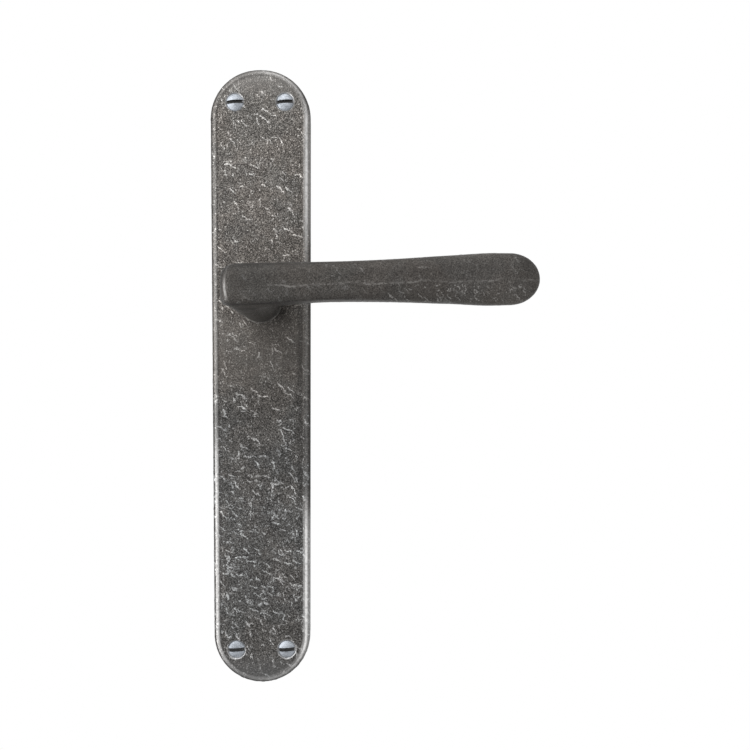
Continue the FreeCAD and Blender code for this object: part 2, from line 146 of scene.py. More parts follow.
def add_piece(name, points, faces):
    """A mesh object at the origin, its doubles merged and its faces turned outwards."""
    mesh = bpy.data.meshes.new(name)
    mesh.from_pydata([tuple(p) for p in points], [], faces)
    shape = bmesh.new()
    shape.from_mesh(mesh)
    bmesh.ops.remove_doubles(shape, verts=shape.verts, dist=1e-7)
    bmesh.ops.recalc_face_normals(shape, faces=shape.faces)
    shape.to_mesh(mesh)
    shape.free()
    return placed(name, mesh)


def skin(rings, cap_last=True):
    """Points and faces of a skin over rings with equal numbers of points, its ends closed."""
    count = len(rings[0])
    faces = []
    for level in range(len(rings) - 1):
        here, there = level * count, (level + 1) * count
        for i in range(count):
            j = (i + 1) % count
            faces.append((here + i, here + j, there + j, there + i))
    faces.append(tuple(range(count)))
    if cap_last:
        faces.append(tuple(range(len(rings) * count - count, len(rings) * count)))
    return np.concatenate(rings), faces


def circle(x, z, radius, y, count):
    """Points round a circle that faces along Y, with one radius or one for every point."""
    turn = np.linspace(0, 2 * math.pi, count, endpoint=False)
    return np.column_stack([x + radius * np.cos(turn), np.full(count, y),
                            z + radius * np.sin(turn)])


def turned(name, profile, x=0.0, z=0.0, count=48):
    """A closed turned shape along Y: its profile is (radius, y) from one end to the other."""
    rings = [circle(x, z, radius, y, count) for radius, y in profile]
    return add_piece(name, *skin(rings))


def bake_modifiers(piece):
    """Turns what the modifiers make into the piece's own plain mesh."""
    bpy.context.view_layer.update()
    evaluated = piece.evaluated_get(bpy.context.evaluated_depsgraph_get())
    made = bpy.data.meshes.new_from_object(evaluated)
    made.name = piece.name
    piece.modifiers.clear()
    piece.data = made


def carve(piece, tools, finish=None):
    """Cuts tools out of a piece, leaving a finish in the cuts, and throws them away."""
    for tool in tools:
        if finish:
            tool.data.materials.append(finish)
        cut = piece.modifiers.new("cut", "BOOLEAN")
        cut.solver = "MANIFOLD"
        cut.operation = "DIFFERENCE"
        cut.object = tool
        cut.material_mode = "TRANSFER"
    bake_modifiers(piece)
    for tool in tools:
        bpy.data.objects.remove(tool)


def smooth(piece, crease=35.0):
    """Smooth shading that breaks at corners sharper than an angle in degrees."""
    piece.data.shade_smooth()
    piece.data.set_sharp_from_angle(angle=math.radians(crease))


# Nodes, for the finishes and the castings' relief

def node(tree, kind, inputs=(), output=0, **settings):
    """Adds a node, links or fills its inputs, and gives one of its outputs."""
    made = tree.nodes.new(kind)
    for name, value in settings.items():
        setattr(made, name, value)
    for key, value in dict(inputs).items():
        if isinstance(value, bpy.types.NodeSocket):
            tree.links.new(value, made.inputs[key])
        else:
            made.inputs[key].default_value = value
    return made.outputs[output]


def maths(tree, operation, first, second=0.0, third=0.0):
    return node(tree, "ShaderNodeMath", {0: first, 1: second, 2: third}, operation=operation)


def linear(tree, value, factor, offset):
    """A value times a factor, plus an offset."""
    return maths(tree, "MULTIPLY_ADD", value, factor, offset)


def times(tree, first, *others):
    """The product of several values."""
    for value in others:
        first = maths(tree, "MULTIPLY", first, value)
    return first


def rise(tree, value, low, high, to_low=0.0, to_high=1.0):
    """A smooth step of a value between two levels."""
    return node(tree, "ShaderNodeMapRange",
                {"Value": value, "From Min": low, "From Max": high, "To Min": to_low,
                 "To Max": to_high}, interpolation_type="SMOOTHSTEP")


def band(tree, value, start, full, fade, end):
    """A smooth hump: 0 before its start, 1 from full to fade, and 0 past its end."""
    return times(tree, rise(tree, value, start, full), rise(tree, value, end, fade))


def noise(tree, point, scale, detail=2.0, roughness=0.5, output=0):
    return node(tree, "ShaderNodeTexNoise",
                {"Vector": point, "Scale": scale, "Detail": detail, "Roughness": roughness},
                output=output)


def vector(tree, operation, first, second=(0.0, 0.0, 0.0), third=(0.0, 0.0, 0.0), output=0):
    return node(tree, "ShaderNodeVectorMath", {0: first, 1: second, 2: third}, output=output,
                operation=operation)


def scaled(tree, vector_or_colour, factor):
    """A vector made longer or shorter, or a colour made lighter or darker."""
    return node(tree, "ShaderNodeVectorMath", {0: vector_or_colour, "Scale": factor},
                operation="SCALE")


def stretched(tree, point, stretch, turn=0.0):
    """A point turned about Y by degrees, then stretched."""
    turned_point = node(tree, "ShaderNodeVectorRotate",
                        {"Vector": point, "Angle": math.radians(turn)}, rotation_type="Y_AXIS")
    return vector(tree, "MULTIPLY", turned_point, stretch)


def shaken(tree, point, scale, detail, far):
    """A point moved about by coarse noise, so that what is drawn there comes out ragged."""
    return vector(tree, "MULTIPLY_ADD", noise(tree, point, scale, detail, output="Color"),
                  (far, far, far), point)


def tint(tree, factor, first, second, blend="MIX"):
    """Mixes two colours."""
    return node(tree, "ShaderNodeMix", {0: factor, 6: first, 7: second}, output=2,
                data_type="RGBA", blend_type=blend)


def grey(level, warmth=0.0):
    """A linear grey, slightly brown with warmth above 0."""
    return (level * (1 + warmth), level, level * (1 - warmth), 1.0)


def parts_of(tree, vector_or_colour):
    """The X, Y and Z of a vector."""
    made = tree.nodes.new("ShaderNodeSeparateXYZ")
    tree.links.new(vector_or_colour, made.inputs[0])
    return made.outputs[0], made.outputs[1], made.outputs[2]


def strokes(tree, point, cell, length, width, share, spread, shift):
    """Scattered short bent strokes, at most one to a cell, most running down to the right:
    1 on a stroke and 0 between. A slanted plane keeps them from smearing down the sides."""
    across, depth, up = parts_of(tree, shaken(tree, point, 0.55, 2.0, 2.2))
    across = maths(tree, "SUBTRACT", maths(tree, "ADD", across, shift), depth)
    up = linear(tree, depth, 0.7, up)
    flat = node(tree, "ShaderNodeCombineXYZ", {"X": across, "Y": up})
    cells = tree.nodes.new("ShaderNodeTexVoronoi")
    cells.voronoi_dimensions = "2D"
    cells.inputs["Scale"].default_value = 1 / cell
    tree.links.new(flat, cells.inputs["Vector"])
    lean, size, luck = parts_of(tree, cells.outputs["Color"])
    off = vector(tree, "SUBTRACT", flat, cells.outputs["Position"])
    turn = linear(tree, lean, math.radians(spread), math.radians(45 - spread / 2))
    off = node(tree, "ShaderNodeVectorRotate", {"Vector": off, "Angle": turn},
               rotation_type="Z_AXIS")
    run, aside, _ = parts_of(tree, off)
    bend = linear(tree, size, 0.9 / length, -0.45 / length)
    aside = linear(tree, times(tree, run, run), bend, aside)
    body = rise(tree, maths(tree, "ABSOLUTE", aside), 0.5 * width, 0.15 * width)
    half = linear(tree, size, 0.35 * length, 0.3 * length)
    ends = rise(tree, maths(tree, "DIVIDE", maths(tree, "ABSOLUTE", run), half), 1.0, 0.6)
    here = rise(tree, maths(tree, "SUBTRACT", share, luck), 0.0, 0.12)
    return times(tree, body, ends, here)


def raised_marks(tree, point, gather):
    """The worm-like crests that tumbling rubs bright: long, short and broad ones, all ragged."""
    point = shaken(tree, point, 1.5, 1.0, 0.8)
    long_ones = strokes(tree, point, 4.6, 4.4, 0.62, times(tree, gather, 0.55), 90.0, 40.0)
    short_ones = strokes(tree, point, 2.5, 2.0, 0.6, times(tree, gather, 0.36), 160.0, 90.0)
    broad_ones = strokes(tree, point, 6.5, 3.4, 2.8, times(tree, gather, 0.25), 180.0, 10.0)
    marks = maths(tree, "MAXIMUM", long_ones, times(tree, short_ones, 0.8))
    broken = rise(tree, noise(tree, point, 1.9, 1.0), 0.36, 0.52, 0.35, 1.0)
    fuzzy = rise(tree, noise(tree, point, 1.7, 1.0), 0.5, 0.62, 0.0, 0.75)
    return maths(tree, "MAXIMUM", times(tree, marks, broken), times(tree, broad_ones, fuzzy))


def gathering(tree, point, few, many):
    """How thickly the crests lie: in patches, few up by the lever and many at the foot."""
    patches = rise(tree, noise(tree, point, 0.14), 0.36, 0.64, 0.72, 1.28)
    return times(tree, patches, rise(tree, parts_of(tree, point)[2], -20.0, -80.0, few, many))


def start_tree(name, **inputs):
    """A Geometry Nodes tree with named inputs: a number gives its default, a word its kind."""
    tree = bpy.data.node_groups.new(name, "GeometryNodeTree")
    for label, value in dict(Geometry="Geometry", **inputs, Finish="Material").items():
        kind = value if isinstance(value, str) else "Float"
        socket = tree.interface.new_socket(
            label.replace("_", " "), in_out="INPUT", socket_type="NodeSocket" + kind)
        if kind != value:
            socket.default_value = value
    tree.interface.new_socket("Geometry", in_out="OUTPUT", socket_type="NodeSocketGeometry")
    return tree, tree.nodes.new("NodeGroupInput").outputs


def end_tree(tree, shape, finish, chosen=True):
    """Ends a tree in real geometry, with the finish on the faces chosen."""
    shape = node(tree, "GeometryNodeRealizeInstances", {"Geometry": shape})
    shape = node(tree, "GeometryNodeSetMaterial",
                 {"Geometry": shape, "Selection": chosen, "Material": finish})
    tree.links.new(shape, tree.nodes.new("NodeGroupOutput").inputs["Geometry"])
    return tree


def iron_relief():
    """Displaces a casting's skin along its normals: crests, a sandy grain and slow waves.
    Skin further back than the last input stays smooth, because it is machined or hidden."""
    tree, given = start_tree("iron_relief", Crest_height=0.1, Grain_height=0.1, Wave_height=0.1,
                             Few=0.6, Many=1.25, Smooth_from_y=0.0)
    place = node(tree, "GeometryNodeInputPosition")
    point = scaled(tree, place, MM)
    crests = raised_marks(tree, point, gathering(tree, point, given["Few"], given["Many"]))
    height = times(tree, maths(tree, "SUBTRACT", crests, 1.0), given["Crest height"])
    grain = maths(tree, "SUBTRACT", noise(tree, point, 0.9, roughness=0.6), 0.5)
    waves = maths(tree, "SUBTRACT", noise(tree, point, 0.09), 0.5)
    height = linear(tree, grain, given["Grain height"], height)
    height = linear(tree, waves, given["Wave height"], height)
    in_front = maths(tree, "SUBTRACT", given["Smooth from y"], parts_of(tree, place)[1])
    height = times(tree, height, rise(tree, in_front, 0.0, 0.0006), 1 / MM)
    push = scaled(tree, node(tree, "GeometryNodeInputNormal"), height)
    shape = node(tree, "GeometryNodeSetPosition", {"Geometry": given["Geometry"], "Offset": push})
    return end_tree(tree, shape, given["Finish"])


def grow(piece, tree, **inputs):
    """Runs a node tree on a piece with these inputs and keeps what it makes."""
    grown = piece.modifiers.new("grown", "NODES")
    grown.node_group = tree
    sockets = {item.name.lower().replace(" ", "_"): item.identifier
               for item in tree.interface.items_tree if item.in_out == "INPUT"}
    for name, value in inputs.items():
        grown[sockets[name]] = value
    bake_modifiers(piece)


def new_finish(name):
    """An empty material: its tree, and the point on the object in millimetres."""
    material = bpy.data.materials.new(name)
    material.use_nodes = True
    tree = material.node_tree
    tree.nodes.clear()
    return material, tree, scaled(tree, node(tree, "ShaderNodeTexCoord", output="Object"), MM)


def close_finish(tree, colour, roughness, height, bump, **fixed):
    """Ends a finish in one shader: linked colour, roughness and bump, and fixed values."""
    relief = node(tree, "ShaderNodeBump", {"Height": height, "Strength": 1.0, "Distance": bump})
    shader = node(tree, "ShaderNodeBsdfPrincipled",
                  {"Base Color": colour, "Roughness": roughness, "Normal": relief, **fixed})
    tree.links.new(shader, tree.nodes.new("ShaderNodeOutputMaterial").inputs["Surface"])


def cast_iron(name, tones, warmth, gather, crest_share, wear_and_light):
    """Blackened cast iron, tumbled: dark sandy grain beneath pale crests and edges polished by
    tumbling.
    The tones are the grain's dark, middle and light and the crests'. The wear_and_light function
    adds its own marks and painted light and shade, and says how bright the skin is where it is seen
    edge on."""
    dark, middle, light, crest_tone = tones
    material, tree, point = new_finish(name)
    grain = noise(tree, stretched(tree, point, (0.85, 1.0, 1.0), 45.0), 3.0, 1.0, 0.6)
    specks = noise(tree, point, 1.5, 1.0)
    colour = tint(tree, rise(tree, grain, 0.34, 0.5), grey(dark, warmth), grey(middle, warmth))
    colour = tint(tree, rise(tree, grain, 0.5, 0.66), colour, grey(light, warmth))
    crests = raised_marks(tree, point, gathering(tree, point, *gather))
    crests = maths(tree, "MAXIMUM", crests, rise(tree, specks, 0.62, 0.72, 0.0, 0.55))
    crests = times(tree, crests, rise(tree, grain, 0.36, 0.54, 0.4, 1.0), crest_share)
    colour = tint(tree, crests, colour, grey(crest_tone, 0.01))
    cool = rise(tree, noise(tree, point, 0.07, 3.0, 0.55), 0.42, 0.6)
    colour = tint(tree, cool, colour, (0.95, 0.98, 1.0, 1.0), "MULTIPLY")
    colour, edge_on = wear_and_light(tree, point, colour)
    roughness = rise(tree, maths(tree, "ADD", grain, crests), 0.3, 1.2, 0.54, 0.36)
    fine = noise(tree, point, 4.0, roughness=0.6)
    height = linear(tree, fine, 0.25, grain)
    height = linear(tree, crests, 0.6, height)
    close_finish(tree, colour, roughness, height, 0.00009,
                 **{"Metallic": 0.85, "Specular Tint": edge_on})
    return material


def plate_wear_and_light(tree, point, colour):
    """The rounded rim is polished towards clean metal where hands and cloths pass, and carries a
    painted highlight that varies along it. The face carries painted shading towards the foot,
    painted shadow beneath the lever and beside the neck, and painted shade along the rim's outer
    edge and in a band on the right. All distances are in millimetres: up is from the spindle, and
    inset is from the outline."""
    along, _, up = parts_of(tree, point)
    inset = node(tree, "ShaderNodeAttribute", output="Fac", attribute_name="inset")
    to_right = rise(tree, along, -6.0, 6.0)

    # How bright the rim is on its left and right, and less so round its two ends: partly real
    # polish, partly a painted highlight
    left = maths(tree, "ADD", rise(tree, up, 60.0, 0.0, 0.1, 0.2),
                 rise(tree, up, -50.0, -66.0, 0.0, 0.5))
    right = maths(tree, "ADD", rise(tree, up, 8.0, 40.0, 0.12, 0.95),
                  rise(tree, up, -72.0, -95.0, 0.0, 0.88))
    ends = times(tree, rise(tree, up, 82.0, 70.0, 0.35, 1.0),
                 rise(tree, up, -147.0, -138.0, 0.3, 1.0))
    halo = times(tree, rise(tree, inset, 3.2, 2.2), 0.33)
    rim_left = band(tree, inset, 0.85, 1.5, 2.2, 3.0)
    rim_right = maths(tree, "MAXIMUM", band(tree, inset, 0.5, 1.3, 1.7, 2.3), halo)
    sides = {0: to_right, 2: times(tree, rim_left, left), 3: times(tree, rim_right, right)}
    rim_wear_and_highlight = node(tree, "ShaderNodeMix", sides, data_type="FLOAT")
    patchy = noise(tree, stretched(tree, point, (1.0, 1.0, 0.12)), 0.35, 3.0, 0.6)
    ragged = noise(tree, point, 1.1)
    rim_wear_and_highlight = times(tree, rim_wear_and_highlight, ends, rise(tree, patchy, 0.2, 0.5, 0.75, 1.0),
                 rise(tree, ragged, 0.3, 0.6, 0.66, 1.0))

    # How light the face is: painted shading darkens it towards the foot, painted shadow darkens it
    # beneath the lever and beside the neck, and its tone also varies at random
    level = times(tree, rise(tree, up, 62.0, 90.0, 0.89, 0.92),
                  rise(tree, up, -148.0, -138.0, 0.84, 1.0),
                  rise(tree, noise(tree, point, 0.16), 0.36, 0.64, 0.89, 1.11))
    # Painted shadow of the lever, in a band beneath it
    below = band(tree, up, -5.0, -40.0, -60.0, -85.0)
    level = linear(tree, below, -0.15, level)
    # Painted shadow cast by the neck, beside its foot on the right
    corner = vector(tree, "DISTANCE", point, (10.5, -10.0, -5.0), output="Value")
    colour = scaled(tree, colour, times(tree, level, rise(tree, corner, 1.0, 9.0, 0.55, 1.0)))
    calm = maths(tree, "ADD", rise(tree, up, 78.0, 90.0, 0.0, 0.6),
                 rise(tree, up, -138.0, -148.0, 0.0, 0.45))
    colour = tint(tree, calm, colour, grey(0.12))
    quiet = band(tree, up, -2.0, -10.0, -24.0, -40.0)
    colour = tint(tree, times(tree, quiet, 0.36), colour, grey(0.09, 0.05))
    colour = tint(tree, rise(tree, up, -60.0, -25.0), colour, (1.035, 0.995, 0.955, 1.0),
                  "MULTIPLY")

    # The rim's pale tone, polished iron: plain on the right, and on the left a painted highlight
    # that grows brighter towards the foot
    bare_metal_and_highlight = tint(tree, rise(tree, up, -60.0, -90.0), grey(0.6, 0.01), grey(0.8, 0.01))
    colour = tint(tree, rim_wear_and_highlight, colour, tint(tree, to_right, grey(0.5, 0.01), bare_metal_and_highlight))

    # Darker along the crease inside the rim, and painted shade in a band on the right and along the
    # outer edge
    crease = times(tree, band(tree, inset, 2.4, 2.8, 3.0, 3.8), 0.15)
    strip = times(tree, band(tree, inset, 2.6, 3.2, 4.2, 5.6), to_right,
                  band(tree, up, 20.0, -10.0, -70.0, -110.0), 0.4)
    # How strong the right rim's polish and painted highlight are: where they are strong, the outer
    # edge gets less painted shade
    right_wear_and_highlight = times(tree, to_right, right, ends)
    edge = times(tree, rise(tree, inset, 1.0, 0.2), rise(tree, right_wear_and_highlight, 0.2, 1.0, 0.65, 0.0))
    crease_and_painted_shade = maths(tree, "MAXIMUM", maths(tree, "MAXIMUM", crease, strip), edge)
    return tint(tree, crease_and_painted_shade, colour, grey(0.03, 0.05)), grey(0.4)


def raw_casting():
    """The unfinished inside of a casting: dull, dark and sandy."""
    material, tree, point = new_finish("raw_casting")
    sand = noise(tree, point, 1.6, 4.0, 0.7)
    rust = rise(tree, noise(tree, point, 0.12, 3.0, 0.6), 0.52, 0.68)
    colour = tint(tree, rise(tree, sand, 0.3, 0.7), grey(0.035, 0.05), grey(0.085, 0.05))
    colour = tint(tree, times(tree, rust, 0.5), colour, (0.09, 0.055, 0.035, 1.0))
    close_finish(tree, colour, rise(tree, sand, 0.2, 0.8, 0.8, 0.6), sand, 0.0003, Metallic=0.35)
    return material


def drilled_iron():
    """Bare iron left by a drill or cutter, with its turning marks."""
    material, tree, point = new_finish("drilled_iron")
    marks = noise(tree, stretched(tree, point, (0.3, 6.0, 0.3)), 1.2, roughness=0.6)
    colour = tint(tree, rise(tree, marks, 0.35, 0.65), grey(0.24), grey(0.4))
    close_finish(tree, colour, rise(tree, marks, 0.3, 0.7, 0.34, 0.46), marks, 0.00003,
                 Metallic=0.95)
    return material


relief = iron_relief()
plate_iron = cast_iron("plate_iron", (0.025, 0.07, 0.165, 0.54), 0.05, (0.62, 1.25), 0.94,
                       plate_wear_and_light)
inside_iron = raw_casting()
cut_iron = drilled_iron()

# The slab: sides that draw in towards the back, a quarter-round rim, a shallow crease, and
# the dense face within
widest = face + straight_side
profile = [(side_draft * (y - widest), y) for y in np.linspace(0, widest, 10)]
profile += [(rim_round * (1 - math.cos(t)), face + rim_round * (1 - math.sin(t)))
            for t in np.radians(np.linspace(0, 90, 13))]
crease_depth, crease_width, crease_fade = 0.00012, 0.0004, 0.002
profile += [(rim_round + crease_width, face + crease_depth),
            (rim_round + 2 * crease_width, face + crease_depth)]
rings = [plate_ring(inset, y) for inset, y in profile]
slab_points, slab_faces = skin(rings, cap_last=False)
border = len(rings[-1])
inner_edge = profile[-1][0]
row_step = skin_step * math.sqrt(3) / 2
lattice = np.array([
    (x + (row % 2) * skin_step / 2, z)
    for row, z in enumerate(np.arange(plate_bottom, plate_top, row_step))
    for x in np.arange(-half_width, half_width, skin_step)])
within = from_edge(lattice[:, 0], lattice[:, 1]) > inner_edge + 0.6 * skin_step
flat_points = [Vector((p[0], p[2])) for p in rings[-1]] + [Vector(p) for p in lattice[within]]
border_edges = [(i, (i + 1) % border) for i in range(border)]
flat_points, _, flat_faces, *_ = delaunay_2d_cdt(flat_points, border_edges, [], 1, 1e-9, False)
flat_points = np.array(flat_points)
flat_faces = np.array(flat_faces)
one, two, three = (flat_points[flat_faces[:, i]] for i in range(3))
doubled_area = np.abs(np.cross(two - one, three - one))
flat_faces = flat_faces[doubled_area > 1e-10]       # without slivers along the straight sides
flat_inset = from_edge(flat_points[:, 0], flat_points[:, 1])
flat_y = face + crease_depth * (1 - eased((flat_inset - inner_edge) / crease_fade))
face_points = np.column_stack([flat_points[:, 0], flat_y, flat_points[:, 1]])
slab_faces += [tuple(i + len(slab_points) for i in f) for f in flat_faces]
backplate = add_piece("backplate_casting", np.concatenate([slab_points, face_points]), slab_faces)
places = np.array([v.co for v in backplate.data.vertices])
insets = backplate.data.attributes.new("inset", "FLOAT", "POINT")
insets.data.foreach_set("value", from_edge(places[:, 0], places[:, 2]) * MM)
grow(backplate, relief, crest_height=0.12, grain_height=0.12, wave_height=0.12, few=0.62,
     many=1.25, smooth_from_y=-0.0004, finish=plate_iron)

# The hollow in its back, with a round fillet along the floor, and the bosses that stand in it
pocket_fillet = 0.0012
pocket_draft = 0.0002
pocket_floor = face + face_wall
pocket_profile = [(side_wall, LAP / 2), (side_wall + pocket_draft, pocket_floor + pocket_fillet)]
pocket_profile += [(side_wall + pocket_draft + pocket_fillet * (1 - math.cos(t)),
                    pocket_floor + pocket_fillet * (1 - math.sin(t)))
                   for t in np.radians((30, 60, 90))]
coarse_step = 0.0012
pocket = add_piece("pocket", *skin([plate_ring(i, y, coarse_step) for i, y in pocket_profile]))
pocket.data.materials.append(inside_iron)

screws_low, screws_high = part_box("plate_screws")
head_radius = 0.0034
head_sink = 0.0005
screw_hole = 0.0023
screw_boss = 0.0055
screw_x = screws_high.x - head_radius
screw_rows = (screws_high.z - head_radius, screws_low.z + head_radius)
screw_places = [(side * screw_x, z) for z in screw_rows for side in (-1, 1)]
bush_low, bush_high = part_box("neck_bush")
bush_radius = 0.008328
bush_boss = 0.011028


def boss(radius, flare, foot_height, tops, x=0.0, z=0.0, count=48):
    """A round boss on the hollow's floor, flared at its foot, with a ring of points at each top."""
    profile = [(radius + flare + 0.0002, pocket_floor - LAP), (radius + flare, pocket_floor),
               (radius, pocket_floor + foot_height)]
    return turned("boss", profile + [(radius, top) for top in tops], x, z, count)


bosses = [boss(screw_boss, 0.0007, 0.001, (0.0, LAP), x, z) for x, z in screw_places]
carve(pocket, bosses + [boss(bush_boss, 0.0006, 0.0008, (bush_high.y,), count=96)])

# What is drilled: four countersunk holes, the bush's bore, and seats for the three pins
countersink_depth = head_radius + head_sink - screw_hole
countersink = [(head_radius + head_sink + LAP, face - LAP),
               (screw_hole, face + countersink_depth), (screw_hole, LAP)]
drills = [turned("drill", countersink, x, z, 64) for x, z in screw_places]
drills.append(turned("drill", [(bush_radius, face - LAP), (bush_radius, LAP)], count=96))
pin_seat = 0.0015
for pin in ("spring_anchor_pin", "rest_stop_pin", "travel_stop_pin"):
    low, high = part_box(pin)
    pin_radius = (high.x - low.x) / 2
    seat = [(pin_radius, pocket_floor - pin_seat), (pin_radius, pocket_floor + LAP / 2)]
    drills.append(turned("drill", seat, (low.x + high.x) / 2, (low.z + high.z) / 2, 32))
carve(backplate, [pocket])
carve(backplate, drills, cut_iron)
smooth(backplate)
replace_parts(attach(backplate, "plate"), "backplate")

# --------------------
# Neck bush: a flanged bronze bearing pressed into the plate. Its flange is the thin ring that
# shows round the foot of the neck.


def worked_metal(name, dark, light, shine, stretch=(1.0, 1.0, 1.0), bump=0.00002, metallic=1.0):
    """A drawn, turned or plated metal: fine marks stretched the way it was worked, and
    faint blotches from handling."""
    material, tree, point = new_finish(name)
    marks = noise(tree, stretched(tree, point, stretch), 3.0, 3.0, 0.65)
    blotches = noise(tree, point, 0.35, 3.0, 0.6)
    mixed = linear(tree, marks, 0.6, times(tree, blotches, 0.4))
    colour = tint(tree, rise(tree, mixed, 0.4, 0.6), dark, light)
    close_finish(tree, colour, rise(tree, marks, 0.3, 0.7, shine, shine + 0.14), marks, bump,
                 Metallic=metallic)
    return material


def refinish(material, *names):
    """Gives CAD pieces their real finish."""
    for name in names:
        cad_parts[name].data.materials.clear()
        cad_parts[name].data.materials.append(material)


refinish(worked_metal("darkened_bronze", (0.1, 0.096, 0.09, 1.0), (0.23, 0.222, 0.208, 1.0),
                      0.36, (0.4, 5.0, 0.4)), "neck_bush")

# --------------------
# Lever handle: neck, elbow and grip in one iron casting with a softly ridged front, finished
# like the plate but darker from handling. The journal on its neck is turned, flatted and
# grooved, and a square socket is broached into it for the spindle.

lever_low, lever_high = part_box("lever_handle")
front = lever_low.y
elbow_half = 0.0069
elbow_half_height = 0.00755
neck_radius = 0.0083
journal_radius = 0.006978
journal_end = lever_high.y
ease = 0.00005          # the gap left round a running or sliding fit
shoulder = bush_low.y - ease
outer_round = 0.0045
inner_round = 0.005
tip_round = 0.0105
reach = lever_high.x
neck_power, elbow_power, grip_power = 2.0, 3.2, 2.5
corner_power = 3.3      # where the neck's lower left side turns into the elbow
chin_power = 9.0        # the lower front edge, crisp at the elbow and softer towards the tip
# Along the straight of the grip: share of its length, top z, bottom z, thickness
grip_stations = np.array([
    (0.00, 0.00780, -0.00685, 0.0140),
    (0.12, 0.00785, -0.00615, 0.0124),
    (0.44, 0.00850, -0.00585, 0.0114),
    (0.72, 0.00985, -0.00660, 0.0110),
    (0.93, 0.01070, -0.00740, 0.0100),
    (1.00, 0.01065, -0.00730, 0.0098),
])
pivot = np.array([elbow_half + inner_round, front + grip_stations[0, 3] + inner_round])
ring_points = 132


def grip_at(share):
    """Top, bottom and thickness of the grip, on a smooth curve through the stations."""
    places, sizes = grip_stations[:, 0], grip_stations[:, 1:]
    slopes = np.gradient(sizes, places, axis=0)
    i = int(np.clip(np.searchsorted(places, share) - 1, 0, len(places) - 2))
    span = places[i + 1] - places[i]
    t = (share - places[i]) / span
    return (between(sizes[i], sizes[i + 1], eased(t))
            + t * (1 - t) * span * ((1 - t) * slopes[i] - t * slopes[i + 1]))


def ridge_height(x):
    """Where the wavering ridge runs along the grip's front."""
    along = (x - 0.0128) / 0.08
    waver = 0.00028 * np.sin(x / 0.0047 + 0.6) + 0.0002 * np.sin(x / 0.0021 + 2.0)
    return -0.0009 + 0.0017 * along + waver


def lever_ring(centre, out, half_across, half_up, power, chin=0.0, facet=0.0):
    """A closed outline, round at power 2 and squarer above it, its points evenly spaced.
    The chin is the power of its lower front quarter, and a facet draws its front in, above
    and below the ridge."""
    turn = np.linspace(0, 2 * math.pi, 6 * ring_points + 1)
    c, s = np.cos(turn), np.sin(turn)
    power = np.where((c > 0) & (s < 0), max(chin, power), power)
    a = half_across * np.sign(c) * np.abs(c) ** (2 / power)
    b = half_up * np.sign(s) * np.abs(s) ** (2 / power)
    run = np.concatenate([[0], np.cumsum(np.hypot(np.diff(a), np.diff(b)))])
    even = np.linspace(0, run[-1], ring_points, endpoint=False)
    a, b = np.interp(even, run, a), np.interp(even, run, b)
    if facet:
        from_ridge = np.abs(centre[2] + b - ridge_height(centre[0])) / half_up
        a = a - facet * np.clip(from_ridge, 0, 1) * np.clip(a / half_across, 0, 1)
    return np.array(centre) + np.outer(a, (out[0], out[1], 0.0)) + np.outer(b, (0, 0, 1.0))


def elbow_reach(angle):
    """From the elbow's inner pivot to its outer skin, at an angle from the neck's plane."""
    dx, dy = -math.cos(angle), -math.sin(angle)
    to_side = (pivot[0] + elbow_half) / -dx if dx < -1e-9 else math.inf
    to_front = (pivot[1] - front) / -dy if dy < -1e-9 else math.inf
    centre_x, centre_y = outer_round - elbow_half, front + outer_round
    if pivot[1] + dy * to_side > centre_y:
        return to_side
    if pivot[0] + dx * to_front > centre_x:
        return to_front
    wx, wy = centre_x - pivot[0], centre_y - pivot[1]
    along = dx * wx + dy * wy
    return along + math.sqrt(along ** 2 - (wx ** 2 + wy ** 2 - outer_round ** 2))


groove_radius = journal_radius - 0.0003
chamfer = 0.0004
ring_low, ring_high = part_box("retaining_ring")
groove_back, groove_front = ring_high.y + ease, ring_low.y - ease
journal = [(journal_radius - chamfer, journal_end), (journal_radius, journal_end - chamfer),
           (journal_radius, groove_back), (groove_radius, groove_back),
           (groove_radius, groove_front), (journal_radius, groove_front),
           (journal_radius, shoulder), (neck_radius - 0.0003, shoulder)]
lever_rings = [lever_ring((0, y, 0), (-1, 0), radius, radius, neck_power) for radius, y in journal]
for y in np.linspace(shoulder, pivot[1], 66)[:-1]:
    share = (shoulder - y) / (shoulder - pivot[1])
    lever_rings.append(lever_ring(
        (0, y, 0), (-1, 0), between(neck_radius, elbow_half, share),
        between(neck_radius, elbow_half_height, share), neck_power,
        between(neck_power, corner_power, share)))
top, bottom, _ = grip_at(0)
for angle in np.linspace(0, math.pi / 2, 84)[:-1]:
    share = 2 * angle / math.pi
    outer = elbow_reach(angle)
    out = (-math.cos(angle), -math.sin(angle))
    middle = pivot + np.array(out) * (outer + inner_round) / 2
    lever_rings.append(lever_ring(
        (middle[0], middle[1], (top + bottom) / 2 * share ** 2), out, (outer - inner_round) / 2,
        between(elbow_half_height, (top - bottom) / 2, share ** 2),
        between(elbow_power, neck_power, (1 - min(1, 2 * share)) ** 2),
        between(corner_power, chin_power, eased((share - 0.3) / 0.32))))
grip_end = reach - tip_round
facet_depth = 0.0003
for share in np.linspace(0, 1, 190)[:-1]:
    top, bottom, thickness = grip_at(share)
    lever_rings.append(lever_ring(
        (pivot[0] + share * (grip_end - pivot[0]), front + thickness / 2, (top + bottom) / 2),
        (0, -1), thickness / 2, (top - bottom) / 2, between(elbow_power, grip_power, share),
        between(grip_power, chin_power, max(0, 1 - 1.4 * share) ** 2),
        facet_depth * min(1, share / 0.1)))
top, bottom, thickness = grip_at(1)
for turn in np.radians(np.linspace(0, 89.3, 34)):
    shrink = math.cos(turn)
    lever_rings.append(lever_ring(
        (grip_end + tip_round * math.sin(turn), front + thickness / 2, (top + bottom) / 2),
        (0, -1), thickness / 2 * shrink, (top - bottom) / 2 * shrink, grip_power, grip_power,
        facet_depth * shrink))


